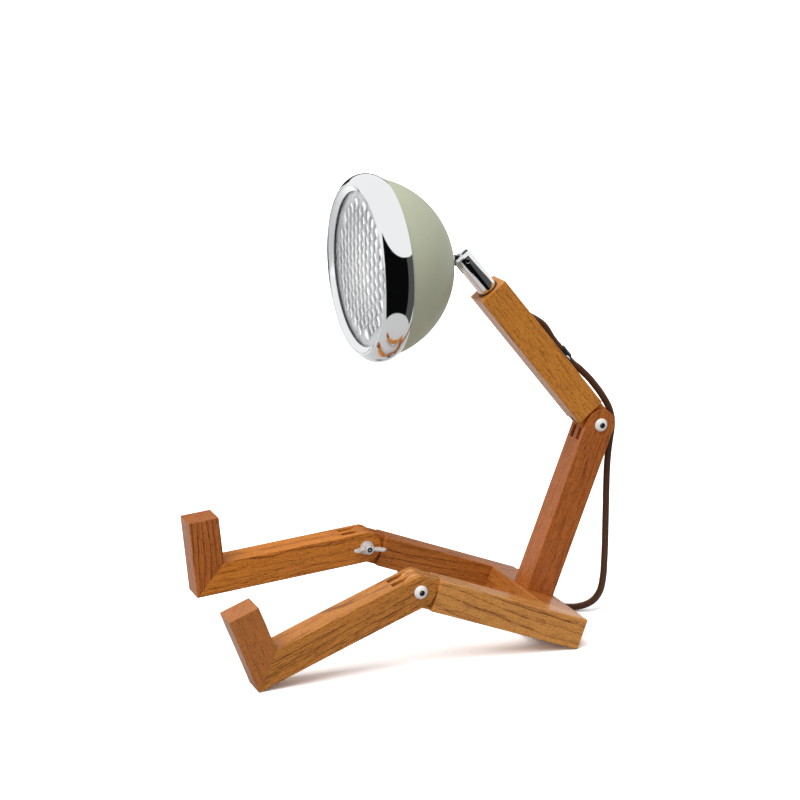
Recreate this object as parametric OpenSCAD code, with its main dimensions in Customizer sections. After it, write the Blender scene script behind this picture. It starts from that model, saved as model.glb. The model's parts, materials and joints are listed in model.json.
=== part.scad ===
// Desk lamp of square wooden bars in the shape of a seated figure.
// The bars are hinged with interleaved fingers, clamped by bolts and wing nuts, and carry
// a round spot head on a slotted metal knuckle. The figure faces -X and sits on the floor z = 0.

/* [Bars] */
// Side of every square wooden bar
bar = 22; // [20:0.5:26]
// Width of the bevel that eases the bars' long edges
edge_ease = 0.5; // [0.2:0.1:1]
// Distance over the outer faces of both thighs
hip_width = 128; // [110:1:160]
// Length of a thigh, from its rear end to the knee pivot
thigh_len = 129; // [110:1:160]
// Depth of the rail between the thighs, front to rear
hip_rail_depth = 28.7; // [24:0.1:45]
// Height of the torso, from the hip rail's top to the elbow pivot
torso_len = 127.5; // [100:0.5:170]
// Distance of the torso's back from the rear end of the hip
torso_setback = 2.5; // [0:0.5:5]
// Length of the upper arm, from the elbow pivot to its top end
arm_len = 131.3; // [110:0.1:170]
// Length of a shin, from the knee pivot to the sole's outer face
shin_len = 127; // [100:0.5:160]
// Height of a foot along its sole, from the heel corner to the toe end
foot_len = 55; // [40:0.5:80]

/* [Pose] */
// Rise of the thighs above the floor, in degrees
hip_pitch = 20.8; // [17:0.1:23]
// Lean of the upper arm in front of the vertical, in degrees
arm_lean = 39.3; // [30:0.1:45]
// Downward slope of the right shin, in degrees, which is held clear of the floor
right_shin_slope = 5.5; // [0:0.5:10]
// Rise of the head's rear axis, in degrees: above 0 the lamp looks down
head_pitch = 1.2; // [-10:0.1:12]

/* [Finger joints] */
// Distance of the square shoulders from the pivot
shoulder = 12.5; // [12.5:0.1:14]
// Distance of the saw slots' ends from the pivot
slot_end = 15.5; // [14.5:0.1:18]
// Play between two fingers, on each side
finger_play = 0.1; // [0.05:0.05:0.2]
// Diameter of the pivot bolts
bolt_d = 5; // [4:0.5:6]
// Play all round a bolt in its bore
bolt_play = 0.05; // [0.02:0.01:0.1]
// Diameter of a bolt's button head
bolt_head_d = 9.5; // [8.5:0.1:11]
// Height of a bolt's button head
bolt_head_h = 2.75; // [2:0.05:3.5]
// Width across the flats of a bolt's hexagon socket
bolt_socket = 3; // [2.5:0.5:4]

/* [Wing nuts] */
// Outer diameter of the washer under a wing nut
washer_d = 10; // [9:0.5:14]
// Thickness of that washer
washer_t = 1; // [0.8:0.1:1.6]
// Diameter of a wing nut's boss
nut_boss_d = 8.6; // [8:0.1:12]
// Height of a wing nut's boss
nut_boss_h = 5; // [4:0.5:7]
// Span over both wings
wing_span = 24; // [20:1:32]
// Thickness of a wing
wing_t = 1.8; // [1.4:0.1:2.6]
// Length of bolt that shows past the nut
bolt_end = 1; // [0.5:0.5:3]

/* [Neck] */
// Diameter of the knuckle's barrel
barrel_d = 14; // [12:0.5:16]
// Length of the barrel above the arm
barrel_len = 32; // [28:0.5:40]
// Height of the knuckle pin above the arm
knuckle_h = 28.2; // [24:0.1:29]
// Width of the barrel's slot
fork_slot = 4.4; // [4:0.1:5]
// Depth of the slot below the pin
fork_depth = 6.5; // [6:0.1:8]
// Diameter of the knuckle pin
knuckle_pin_d = 3; // [2.5:0.1:3.4]
// Diameter of the barrel's threaded shank in the arm
shank_d = 10; // [9:0.5:11]
// Length of that shank
shank_len = 26; // [22:1:28]
// Thickness of the friction washer under the barrel
neck_washer_t = 0.8; // [0.5:0.1:1.5]
// Diameter of the brass insert in the arm
insert_d = 14; // [13:0.5:15]
// Length of the brass insert
insert_len = 16; // [12:1:20]
// Diameter of the wire hole through the shank
wire_bore = 5; // [4:0.1:5.5]

/* [Head] */
// Distance of the shell's rear seat from the knuckle pin
knuckle_reach = 12.2; // [11.5:0.1:14]
// Radius of the spherical shell
shell_r = 62; // [58:0.5:66]
// Thickness of the shell's wall
shell_wall = 1; // [0.8:0.1:1.5]
// Distance of the bezel's front from the knuckle pin
head_front = 79.1; // [78:0.1:82]
// Depth of the bezel, front to rear
bezel_depth = 18.8; // [17:0.1:20]
// Radius of the bezel's round section
bezel_round = 13.3; // [13:0.1:14]
// Distance of that round's centre behind the bezel's front
bezel_round_at = 11.5; // [11:0.1:12]
// Radius of the ring through the centres of that round
bezel_ring_r = 50.5; // [50.3:0.1:51]
// Thickness of the bezel's metal
bezel_wall = 0.8; // [0.6:0.1:0.9]
// Radius of the lens that shows
window_r = 53.8; // [50:0.1:54.5]
// Distance of the lens seat behind the bezel's front
lens_recess = 6.2; // [5:0.1:7]
// Thickness of the lens
lens_t = 3; // [2.5:0.1:3.2]
// Height of the lens's crown over its edge
lens_crown = 2.6; // [1:0.1:4]
// Thickness of the gasket in front of the lens
gasket_t = 0.8; // [0.5:0.1:1]
// Radius of the light chamber's opening at the circuit board
chamber_r = 14; // [12:0.5:16]
// Distance of the circuit board behind the bezel's front
board_at = 42; // [38:0.5:44]
// Thickness of the circuit board
board_t = 1.6; // [1:0.1:2]
// Radius of the heat sink
sink_r = 21; // [20:0.5:23]
// Length of the heat sink, its base included
sink_len = 11; // [8:0.5:12]

/* [Cord] */
// Diameter of the cord
cord_d = 5; // [4.6:0.1:5.2]
// Distance of the cord's hole from the arm's top end
cord_hole_down = 36.3; // [34.3:0.5:38.3]
// Distance of the cord clip from the elbow pivot, along the arm
clip_at = 55.5; // [54.5:0.5:56.5]
// Length of the clip along the cord
clip_w = 9; // [6:0.5:9]
// Thickness of the clip's strap
clip_wall = 0.9; // [0.6:0.1:1.2]
// Width of the cord switch
switch_w = 16; // [15:0.5:18]
// Length of the cord switch
switch_len = 44; // [40:1:48]
// Height of the cord switch's housing
switch_h = 12.4; // [12:0.1:13]
// Throw of the switch's rocker, in degrees
rocker_throw = 14; // [10:1:16]
// Length of the plug's body
plug_len = 38; // [34:1:44]
// Width of the plug's body
plug_w = 34; // [30:1:36]
// Thickness of the plug's body
plug_t = 13.7; // [12:0.1:14]
// Diameter of the plug's pins
pin_d = 4; // [3.8:0.1:4.8]
// Length of the plug's pins, their insulated part included
pin_len = 19; // [17:1:19]
// Length of the insulated part of a pin
pin_sleeve_len = 10; // [8:0.5:11]
// Distance between the plug's pins
pin_gap = 18.6; // [17:0.1:20]

/* [Hidden] */
$fn = 64;

wood = [0.72, 0.40, 0.16];
wood_dark = [0.58, 0.30, 0.12];
dowel_wood = [0.85, 0.70, 0.48];
chrome = [0.82, 0.83, 0.85];
brass = [0.80, 0.65, 0.30];
sage = [0.60, 0.62, 0.51];
cord_brown = [0.34, 0.23, 0.15];
black = [0.08, 0.08, 0.08];

half = bar / 2;
finger_t = bar / 5;
thigh_y = hip_width / 2 - half;
hair = 0.01;

// Places of the pivots, measured from the middle of the hip's rear edge on the floor
function hip_point(along, up) = [
    up * sin(hip_pitch) - along * cos(hip_pitch), 0, up * cos(hip_pitch) + along * sin(hip_pitch)
];
knee = hip_point(thigh_len, half);
elbow = hip_point(torso_setback + half, bar + torso_len);
// The left heel stands on the floor, which sets the left shin's slope
heel_reach = norm([shin_len, half]);
left_shin_slope = asin(knee[2] / heel_reach) - atan2(half, shin_len);

// The origin is under the middle of the lamp's front-to-rear length
function toe_x(slope, up, along) = knee[0] - along * cos(slope) - up * sin(slope);
front_x = min([
    for (slope = [left_shin_slope, right_shin_slope]) for (up = [-half, foot_len - half])
        toe_x(slope, up, shin_len)
]);
rear_x = max(elbow[0] + half, hip_point(0, bar)[0]);
centre_x = (front_x + rear_x) / 2;

// Head, measured from the knuckle pin along the head's axis
shell_flat = 0.3;
shell_centre = knuckle_reach - shell_flat + shell_r;
lens_r = window_r + 3.2;
lens_front = lens_recess + gasket_t;
rim_t = 1;
rim_at = lens_front + lens_t;
shell_edge_at = rim_at + rim_t;
shell_edge_r = sqrt(pow(shell_r, 2) - pow(shell_centre - head_front + shell_edge_at, 2));
board_r = chamber_r - 0.3;
sink_at = board_at + board_t;
sink_screw_d = 2.5;
sink_screw_head_d = 4.2;
led_r = 5.5;
screw_ring_r = (board_r + led_r) / 2 + 0.4;

// Knuckle
tongue_t = fork_slot - 0.4;
tongue_eye_r = 3.5;
stud_d = 6;
tongue_flange_d = 12;
tongue_flange_t = 2.2;
seat_washer_t = 1;

// Hip, torso and foot fixings
dowel_d = 8;
dowel_len = 32;
small_dowel_d = 6;
small_dowel_len = 24;
foot_dowel_len = 18;
dowel_play = 0.05;
screw_d = 5;
screw_head_d = 9.5;
screw_len = 55;

// Cord fittings
cord_hole_tilt = 70;
cord_hole_depth = 18;
cord_hole_at = arm_len - cord_hole_down;
cord_play = 0.1;
clip_foot_w = 5;
clip_foot_t = 1.2;
clip_screw_d = 2;
clip_screw_head_d = 4.2;
clip_screw_len = 8;
lead_d = 4.4;

// Routes of the cord, point by point
ARM_ROUTE = [
    [81.1, 0, 229.5], [84.7, 0, 227.3], [88.4, 0, 225.1], [91.9, 0, 223.1], [94.3, 0, 221.6],
    [97.6, 0, 219.3], [100.4, 0, 216.5], [102.7, 0, 213.3], [104.5, 0, 210.3], [106.2, 0, 207.7],
    [107.8, 0, 205.6], [112.8, 0, 199.6], [115.7, 0, 195.55], [119.1, 0, 191.9]
];
DROP_ROUTE = [
    [119.1, 0, 191.9], [122.5, 0, 188.25], [126.6, 0, 185.1], [130.8, 0, 181.2], [135.5, 0, 176.5],
    [139.8, 0, 171.4], [144, 0, 166], [147.5, 0, 160.8], [150.6, 0, 155.6], [152.8, 0, 150],
    [153.9, 0, 144.5], [153.9, 0, 139], [153.2, 0, 133.5], [152.4, 0, 127.5], [151.6, 0, 120],
    [151, 0, 110], [150.8, 0, 96], [150.8, 0, 82], [150.8, 0, 68], [150.8, 0, 54], [150.5, 0, 40],
    [150, 0.4, 27], [148.2, 1.7, 16], [143.4, 4.4, 8.1], [135.6, 8.8, 3.8], [127, 14.2, 2.6],
    [119.4, 21.6, 3.4], [114.8, 29.4, 4.8], [113.5, 36, 5.6], [113.5, 40, 5.6]
];
RUN_ROUTE = [
    [113.5, 78, 5.6], [113.5, 82, 5.5], [113.1, 87, 4.9], [111.8, 92.5, 3.9], [110, 98, 2.9], [108.7, 103.5, 2.5]
];
TAIL_ROUTE = [
    [88.6, 136.6, 7.5], [82.4, 140.2, 7.2], [76.5, 145.6, 5.8], [71.4, 152.2, 4], [67.3, 159.7, 2.8],
    [63.8, 167.4, 2.5], [60.5, 175, 2.6], [56.4, 182.2, 3.2], [50, 187.8, 4.6], [42.2, 190.6, 6.3],
    [36, 191, 6.85]
];
coil_centre = [71, 103.5];
coil_r = 40;
coil_band = 4.5 * cord_d;
coil_height = 2 * cord_d;
coil_round = 1.4;
tie_w = 7;
tie_t = 0.8;
switch_at = [113.5, 37];
switch_axis_h = 5.6;
plug_at = [38, 191];

// ---------------------------------------------------------------- frames

module on_floor() translate([-centre_x, 0, 0]) children();

module on_hip() on_floor() rotate([0, hip_pitch, 0]) children();

module at_knee(side, slope)
    on_floor() translate([knee[0], side * thigh_y, knee[2]]) rotate([0, -slope, 0]) children();

module on_arm() on_floor() translate(elbow) rotate([0, -arm_lean, 0]) children();

module on_neck() on_arm() translate([0, 0, arm_len]) children();

module on_head()
    on_neck() translate([0, 0, knuckle_h]) rotate([0, arm_lean - head_pitch, 0]) children();

// Turns about the head's axis, from the front at 0 towards the knuckle
module turned() on_head() translate([-head_front, 0, 0]) rotate([0, 90, 0]) rotate_extrude() children();

module facing_rear(at) on_head() translate([at - head_front, 0, 0]) rotate([0, 90, 0]) children();

// ---------------------------------------------------------------- hinged bars

// A flat outline in X and Z, given a thickness across Y
module across(y0, t) translate([0, y0 + t, 0]) rotate([90, 0, 0]) linear_extrude(t) children();

// One finger: a strip that ends in a half round about the pivot
module finger(y0, t) across(y0, t) {
    circle(r = half);
    translate([-slot_end - 1, -half]) square([slot_end + 1, bar]);
}

// A rectangle about the origin with its corners bevelled
module eased(width, height) {
    x = width / 2;
    y = height / 2;
    e = edge_ease;
    polygon([[x - e, y], [x, y - e], [x, e - y], [x - e, -y], [e - x, -y], [-x, e - y], [-x, y - e], [e - x, y]]);
}

// The bevelled stock of a bar along -X, from one distance in front of the pivot to another behind it
module bar_stock(front, rear)
    translate([front, 0, 0]) rotate([0, -90, 0]) linear_extrude(front + rear) eased(bar, bar);

// A bar that runs from its pivot along -X and has outer fingers or inner ones
module hinged_bar(len, outer) {
    layers = outer ? [0, 2, 4] : [1, 3];
    play = outer ? 0 : finger_play;
    difference() {
        intersection() {
            bar_stock(bar, len);
            union() {
                translate([-len, -half, -half]) cube([len - slot_end, bar, bar]);
                if (!outer)
                    for (k = [0, 1]) across(-half + 4 * k * finger_t, finger_t)
                        translate([-slot_end - hair, -half]) square([slot_end + hair - shoulder, bar]);
                for (k = layers) finger(-half + k * finger_t + play, finger_t - 2 * play);
            }
        }
        rotate([90, 0, 0]) cylinder(d = bolt_d + 2 * bolt_play, h = 2 * bar, center = true);
    }
}

// ---------------------------------------------------------------- hip and torso

module hip_dowel_places()
    for (side = [-1, 1]) for (along = [0.28, 0.72])
        translate([-along * hip_rail_depth, side * (hip_width / 2 - bar), half]) rotate([90, 0, 0]) children();

module hip_dowel_bores() hip_dowel_places() cylinder(d = dowel_d, h = dowel_len, center = true);

module thigh(side) {
    color(wood) on_hip() difference() {
        translate([-thigh_len, side * thigh_y, half]) rotate([0, 0, 180]) hinged_bar(thigh_len, false);
        hip_dowel_bores();
    }
}
module left_thigh() thigh(-1);
module right_thigh() thigh(1);

module torso_dowel_places()
    for (y = [-1, 1]) translate([-torso_setback - half, y * bar * 0.28, bar]) children();

module hip_rail() {
    rail_len = hip_width - 2 * bar;
    color(wood) on_hip() difference() {
        translate([-hip_rail_depth / 2, rail_len / 2, half]) rotate([90, 0, 0])
            linear_extrude(rail_len) eased(hip_rail_depth, bar);
        hip_dowel_bores();
        torso_dowel_places() cylinder(d = small_dowel_d, h = small_dowel_len, center = true);
        translate([-torso_setback - half, 0, -hair]) {
            cylinder(d = screw_d, h = bar + 2 * hair);
            cylinder(d1 = screw_head_d, d2 = screw_d, h = (screw_head_d - screw_d) / 2);
        }
    }
}

module hip_dowels() color(dowel_wood) on_hip()
    hip_dowel_places() cylinder(d = dowel_d - 2 * dowel_play, h = dowel_len - 1, center = true);

module torso_post() {
    color(wood) on_hip() difference() {
        translate([-torso_setback - half, 0, bar + torso_len]) rotate([0, -90, 0]) hinged_bar(torso_len, true);
        torso_dowel_places() cylinder(d = small_dowel_d, h = small_dowel_len, center = true);
        translate([-torso_setback - half, 0, 0]) cylinder(d = screw_d, h = screw_len + 1);
    }
}

module torso_dowels() color(dowel_wood) on_hip()
    torso_dowel_places() cylinder(d = small_dowel_d - 2 * dowel_play, h = small_dowel_len - 1, center = true);

module torso_screw() {
    color(brass) on_hip() translate([-torso_setback - half, 0, 0.2]) difference() {
        union() {
            cylinder(d = screw_d - 2 * dowel_play, h = screw_len - 4);
            cylinder(d1 = screw_head_d - 0.5, d2 = screw_d - 0.5, h = (screw_head_d - screw_d) / 2);
            translate([0, 0, screw_len - 4]) cylinder(d1 = screw_d - 2 * dowel_play, d2 = 0.6, h = 4);
        }
        for (a = [0, 90]) rotate([0, 0, a]) translate([-2.2, -0.5, -hair]) cube([4.4, 1, 1.6]);
    }
}

// ---------------------------------------------------------------- legs

// Cuts the bar off along the mitre that runs from the heel to the inner corner
module mitre_cut() across(-bar, 2 * bar)
    polygon([[-shin_len - bar, -half - bar], [-shin_len - bar, half + bar],
             [-shin_len + 2 * bar, half + bar], [-shin_len - bar + bar, -half]]);

module foot_dowel_places()
    for (y = [-1, 1]) translate([-shin_len + half, y * bar / 4, 0]) rotate([0, 135, 0]) children();

module foot_dowel_bores() foot_dowel_places() cylinder(d = small_dowel_d, h = foot_dowel_len, center = true);

module shin(side, slope) {
    color(wood_dark) at_knee(side, slope) difference() {
        hinged_bar(shin_len, true);
        mitre_cut();
        foot_dowel_bores();
    }
}
module left_shin() shin(-1, left_shin_slope);
module right_shin() shin(1, right_shin_slope);

module foot(side, slope) {
    color(wood_dark) at_knee(side, slope) difference() {
        intersection() {
            translate([half - shin_len, 0, -bar]) linear_extrude(foot_len + bar) eased(bar, bar);
            across(-half, bar)
                polygon([[-shin_len, -half], [-shin_len, foot_len - half],
                         [-shin_len + bar, foot_len - half], [-shin_len + bar, half]]);
        }
        foot_dowel_bores();
    }
}
module left_foot() foot(-1, left_shin_slope);
module right_foot() foot(1, right_shin_slope);

module foot_dowels(side, slope) color(dowel_wood) at_knee(side, slope) foot_dowel_places()
    cylinder(d = small_dowel_d - 2 * dowel_play, h = foot_dowel_len - 1, center = true);
module left_foot_dowels() foot_dowels(-1, left_shin_slope);
module right_foot_dowels() foot_dowels(1, right_shin_slope);

// ---------------------------------------------------------------- bolts, washers, wing nuts

// The bolt lies along Y with its head at -Y, and the nut comes on its +Y end
bolt_len = bar + washer_t + nut_boss_h + bolt_end;

module pivot_bolt() color(chrome) translate([0, -half, 0]) rotate([-90, 0, 0]) difference() {
    union() {
        cylinder(d = bolt_d, h = bolt_len);
        intersection() {
            translate([0, 0, -bolt_head_h]) cylinder(d = bolt_head_d, h = bolt_head_h);
            translate([0, 0, bolt_head_d * 0.34]) sphere(d = 2 * (bolt_head_d * 0.34 + bolt_head_h));
        }
    }
    translate([0, 0, -bolt_head_h - hair]) cylinder(d = bolt_socket / cos(30), h = 2, $fn = 6);
}

module washer() color(chrome) translate([0, half, 0]) rotate([-90, 0, 0]) difference() {
    cylinder(d = washer_d, h = washer_t);
    translate([0, 0, -hair]) cylinder(d = bolt_d + 2 * bolt_play, h = washer_t + 2 * hair);
}

// One wing as a rounded loop, drawn outwards from the boss and away from the bar
module wing_outline() difference() {
    hull() {
        translate([nut_boss_d / 2 - 1.4, 0]) square([0.8, 3.6]);
        translate([wing_span / 2 - 2.6, nut_boss_h + 1.4]) circle(r = 2.6, $fn = 32);
        translate([nut_boss_d / 2 + 1.2, nut_boss_h + 0.6]) circle(r = 1.6, $fn = 32);
    }
    hull() {
        translate([wing_span / 2 - 2.9, nut_boss_h + 1.2]) circle(r = 1.1, $fn = 32);
        translate([nut_boss_d / 2 + 1.9, nut_boss_h - 0.6]) circle(r = 0.7, $fn = 32);
    }
}

module wing_nut(turn) color(chrome) translate([0, half + washer_t, 0]) rotate([-90, 0, 0])
    rotate([0, 0, turn]) difference() {
        union() {
            cylinder(d1 = nut_boss_d, d2 = nut_boss_d - 1.4, h = nut_boss_h);
            for (side = [0, 180]) rotate([0, 0, side]) translate([0, wing_t / 2, 0]) rotate([90, 0, 0])
                linear_extrude(wing_t) wing_outline();
        }
        translate([0, 0, -hair]) cylinder(d = bolt_d + 2 * bolt_play, h = nut_boss_h + 2 * hair);
    }

module at_elbow() on_hip() translate([-torso_setback - half, 0, bar + torso_len]) children();
module at_left_knee() at_knee(-1, left_shin_slope) children();
// The right knee's bolt comes in from the outer side, so it is turned round
module at_right_knee() at_knee(1, right_shin_slope) rotate([0, 0, 180]) children();

elbow_nut_turn = 80;
left_nut_turn = 8;
right_nut_turn = -9;

module elbow_bolt() at_elbow() pivot_bolt();
module left_knee_bolt() at_left_knee() pivot_bolt();
module right_knee_bolt() at_right_knee() pivot_bolt();
module elbow_washer() at_elbow() washer();
module left_knee_washer() at_left_knee() washer();
module right_knee_washer() at_right_knee() washer();
module elbow_wing_nut() at_elbow() wing_nut(elbow_nut_turn);
module left_wing_nut() at_left_knee() wing_nut(left_nut_turn);
module right_wing_nut() at_right_knee() wing_nut(right_nut_turn);

// ---------------------------------------------------------------- upper arm and neck

channel_d = shank_d + 0.8;

// The cord's hole slopes outwards and down through the arm's back
module cord_hole_place() translate([half, 0, cord_hole_at]) rotate([0, 90 + cord_hole_tilt, 0]) children();

module upper_arm() color(wood) difference() {
    on_arm() difference() {
        rotate([0, 90, 0]) hinged_bar(arm_len, false);
        translate([0, 0, arm_len - insert_len]) cylinder(d = insert_d, h = insert_len + hair);
        translate([0, 0, cord_hole_at + 3]) cylinder(d = channel_d, h = arm_len - cord_hole_at);
        cord_hole_place() translate([0, 0, -cord_hole_depth])
            cylinder(d = cord_d + 0.4, h = cord_hole_depth + bar);
    }
    at_clip_screw() translate([0, 0, -clip_screw_len - hair])
        cylinder(d = clip_screw_d + 0.04, h = clip_screw_len + 1);
}

module neck_insert() color(brass) on_neck() translate([0, 0, -insert_len]) difference() {
    cylinder(d = insert_d - 2 * dowel_play, h = insert_len);
    translate([0, 0, -hair]) cylinder(d = shank_d + 2 * bolt_play, h = insert_len + 2 * hair);
}

module neck_washer() color(black) on_neck() difference() {
    cylinder(d = barrel_d + 1.2, h = neck_washer_t);
    translate([0, 0, -hair]) cylinder(d = shank_d + 0.4, h = neck_washer_t + 2 * hair);
}

module knuckle_barrel() {
    edge = 0.7;
    color(chrome) on_neck() difference() {
        union() {
            translate([0, 0, neck_washer_t]) cylinder(d = barrel_d, h = barrel_len - neck_washer_t - edge);
            translate([0, 0, barrel_len - edge]) cylinder(d1 = barrel_d, d2 = barrel_d - 2 * edge, h = edge);
            translate([0, 0, -shank_len]) cylinder(d = shank_d, h = shank_len + neck_washer_t + 1);
        }
        translate([0, 0, -shank_len - hair]) cylinder(d = wire_bore, h = shank_len + knuckle_h);
        translate([-barrel_d, -fork_slot / 2, knuckle_h - fork_depth]) cube([2 * barrel_d, fork_slot, bar]);
        translate([0, 0, knuckle_h]) rotate([90, 0, 0])
            cylinder(d = knuckle_pin_d + 0.04, h = 2 * barrel_d, center = true);
    }
}

module knuckle_pin() color(chrome) on_neck() translate([0, 0, knuckle_h]) rotate([90, 0, 0])
    cylinder(d = knuckle_pin_d, h = barrel_d - 0.6, center = true);

module head_tongue() {
    flange_at = -knuckle_reach + seat_washer_t + tongue_flange_t;
    stud_len = shell_wall + 6.5;
    color(chrome) on_head() difference() {
        union() {
            across(-tongue_t / 2, tongue_t) {
                circle(r = tongue_eye_r);
                translate([flange_at, -tongue_eye_r]) square([-flange_at, 2 * tongue_eye_r]);
            }
            translate([flange_at - tongue_flange_t, 0, 0]) rotate([0, 90, 0])
                cylinder(d = tongue_flange_d, h = tongue_flange_t);
            translate([-knuckle_reach - stud_len, 0, 0]) rotate([0, 90, 0])
                cylinder(d = stud_d, h = stud_len + seat_washer_t + hair);
        }
        rotate([90, 0, 0]) cylinder(d = knuckle_pin_d + 0.1, h = 2 * tongue_t, center = true);
    }
}

module seat_washer() color(black) on_head() translate([-knuckle_reach, 0, 0]) rotate([0, 90, 0]) difference() {
    cylinder(d = tongue_flange_d, h = seat_washer_t);
    translate([0, 0, -hair]) cylinder(d = stud_d + 0.2, h = seat_washer_t + 2 * hair);
}

module tongue_nut() color(chrome)
    on_head() translate([-knuckle_reach - shell_wall - 4.6, 0, 0]) rotate([0, 90, 0]) difference() {
        cylinder(d = 10 / cos(30), h = 4.4, $fn = 6);
        translate([0, 0, -hair]) cylinder(d = stud_d + 0.2, h = 5);
    }

// ---------------------------------------------------------------- head

module lamp_shell() {
    edge_x = shell_edge_at - head_front;
    color(sage) on_head() difference() {
        translate([-shell_centre, 0, 0]) sphere(r = shell_r, $fn = 128);
        translate([-shell_centre, 0, 0]) sphere(r = shell_r - shell_wall, $fn = 128);
        translate([edge_x - 2 * shell_r, -shell_r, -shell_r]) cube(2 * shell_r);
        translate([-knuckle_reach, -shell_r, -shell_r]) cube(2 * shell_r);
        rotate([0, -90, 0]) cylinder(d = stud_d + 0.2, h = shell_r / 2);
    }
}

// Half of the bezel's section: radius along X, distance behind the front along Y
module bezel_section() {
    lip_r = bezel_ring_r + sqrt(pow(bezel_round, 2) - pow(bezel_round_at, 2));
    difference() {
        translate([bezel_ring_r, bezel_round_at]) circle(r = bezel_round, $fn = 128);
        translate([bezel_ring_r, bezel_round_at]) circle(r = bezel_round - bezel_wall, $fn = 128);
        translate([0, bezel_depth]) square(2 * bezel_ring_r);
        translate([0, -bezel_ring_r]) square([lip_r, 3 * bezel_ring_r]);
    }
    translate([lip_r, 0.55]) circle(r = 0.6, $fn = 32);
    polygon([[lip_r - 0.45, 0.2], [lip_r + 0.45, 0.9], [window_r + bezel_wall, lens_recess],
             [window_r + bezel_wall + 2, lens_recess - bezel_wall], [window_r + bezel_wall + 2.6, lens_recess],
             [window_r, lens_recess]]);
}

// The bezel's rear edge is rolled in and snaps over the shell's edge
module bezel() color(chrome) turned() bezel_section();

module lens() {
    crown_r = (pow(lens_r, 2) + pow(lens_crown, 2)) / (2 * lens_crown);
    color([0.9, 0.93, 0.95, 0.6]) facing_rear(lens_front) intersection() {
        difference() {
            translate([0, 0, crown_r - lens_crown]) sphere(r = crown_r, $fn = 256);
            translate([0, 0, crown_r - lens_crown + lens_t]) sphere(r = crown_r, $fn = 256);
        }
        translate([0, 0, -2 * lens_crown]) cylinder(r = lens_r, h = lens_t + 2 * lens_crown, $fn = 128);
    }
}

module lens_gasket() color(black) facing_rear(lens_recess) difference() {
    cylinder(r = lens_r - 0.2, h = gasket_t - 0.2);
    translate([0, 0, -hair]) cylinder(r = lens_r - 1.8, h = gasket_t + 2 * hair);
}

// Depth of the light chamber's curved wall at a radius
chamber_mouth_r = lens_r - 1.5;
function chamber_at(r) =
    rim_at + rim_t + (board_at - rim_at - rim_t)
    * (pow(chamber_mouth_r, 2) - pow(r, 2)) / (pow(chamber_mouth_r, 2) - pow(chamber_r, 2));

module reflector() {
    wall = 1;
    steps = 12;
    radii = [for (i = [0 : steps]) chamber_r + (chamber_mouth_r - chamber_r) * i / steps];
    color([0.9, 0.9, 0.9]) turned() polygon(concat(
        [for (r = radii) [r, chamber_at(r)]],
        [[chamber_mouth_r, rim_at], [shell_edge_r - 0.4, rim_at], [shell_edge_r - 0.4, rim_at + rim_t]],
        [for (i = [steps : -1 : 0]) [radii[i] + wall, chamber_at(radii[i]) + wall * 0.6]],
        [[chamber_r + wall, board_at], [sink_r, board_at], [sink_r, sink_at], [chamber_r, sink_at]]
    ));
}

module sink_screw_places() for (y = [-1, 1]) translate([0, y * screw_ring_r, 0]) children();

module led_board() {
    color([0.93, 0.93, 0.9]) facing_rear(board_at) difference() {
        union() {
            cylinder(r = board_r, h = board_t);
            translate([0, 0, -1.2]) cylinder(r = led_r, h = 1.2 + hair);
        }
        sink_screw_places() translate([0, 0, -hair]) cylinder(d = sink_screw_d + 0.2, h = 2 * board_t);
    }
}

module heat_sink() {
    base_t = 3;
    fins = 9;
    pitch = 2 * sink_r / fins;
    color([0.55, 0.56, 0.58]) facing_rear(sink_at) difference() {
        cylinder(r = sink_r, h = sink_len);
        for (i = [0 : fins - 1]) translate([(i + 0.5) * pitch - sink_r, 0, base_t + sink_len / 2])
            cube([pitch * 0.6, 3 * sink_r, sink_len], center = true);
        sink_screw_places() translate([0, 0, -hair]) cylinder(d = sink_screw_d + 0.1, h = base_t + 1);
    }
}

module sink_screws() color(chrome) facing_rear(board_at) sink_screw_places() {
    cylinder(d = sink_screw_d, h = board_t + 3);
    translate([0, 0, -1.2]) cylinder(d = sink_screw_head_d, h = 1.2);
}

// A potted current driver that is stuck to the fins
module led_driver() color([0.15, 0.15, 0.17]) facing_rear(sink_at + sink_len) cylinder(r = 12, h = 4);

// ---------------------------------------------------------------- wiring

lead_start = cord_hole_at + 4;

module inner_lead() color(cord_brown) on_arm() translate([0, 0, lead_start])
    cylinder(d = lead_d, h = arm_len - lead_start + knuckle_h - fork_depth - 1);

// A strap over the cord with one screwed foot
module clip_profile() {
    r = cord_d / 2 + cord_play;
    difference() {
        union() {
            translate([0, r]) circle(r = r + clip_wall);
            translate([-r - clip_wall, 0]) square([2 * (r + clip_wall), r]);
            translate([-r - clip_wall - clip_foot_w, 0]) square([clip_foot_w + clip_wall, clip_foot_t]);
        }
        translate([0, r]) circle(r = r);
        translate([-r, -1]) square([2 * r, r + 1]);
    }
}

module on_clip() on_arm() translate([half, 0, clip_at]) rotate([0, 90, 0]) children();

module at_clip_screw()
    on_clip() translate([clip_w / 2 - 3, -cord_d / 2 - cord_play - clip_wall - clip_foot_w / 2, 0]) children();

module cord_clip() color(black) difference() {
    on_clip() translate([-clip_w / 2, 0, 0]) rotate([90, 0, 90]) linear_extrude(clip_w) clip_profile();
    at_clip_screw() translate([0, 0, -hair]) cylinder(d = clip_screw_d + 0.2, h = 2 * clip_foot_t);
}

module clip_screw() color(chrome) at_clip_screw() {
    translate([0, 0, 1 - clip_screw_len]) cylinder(d = clip_screw_d, h = clip_screw_len + clip_foot_t - 0.5);
    translate([0, 0, -clip_screw_len]) cylinder(d1 = 0.4, d2 = clip_screw_d, h = 1);
    translate([0, 0, clip_foot_t]) intersection() {
        cylinder(d = clip_screw_head_d, h = 1.4);
        translate([0, 0, -1.6]) sphere(r = 3, $fn = 48);
    }
}

// ---------------------------------------------------------------- cord

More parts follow.
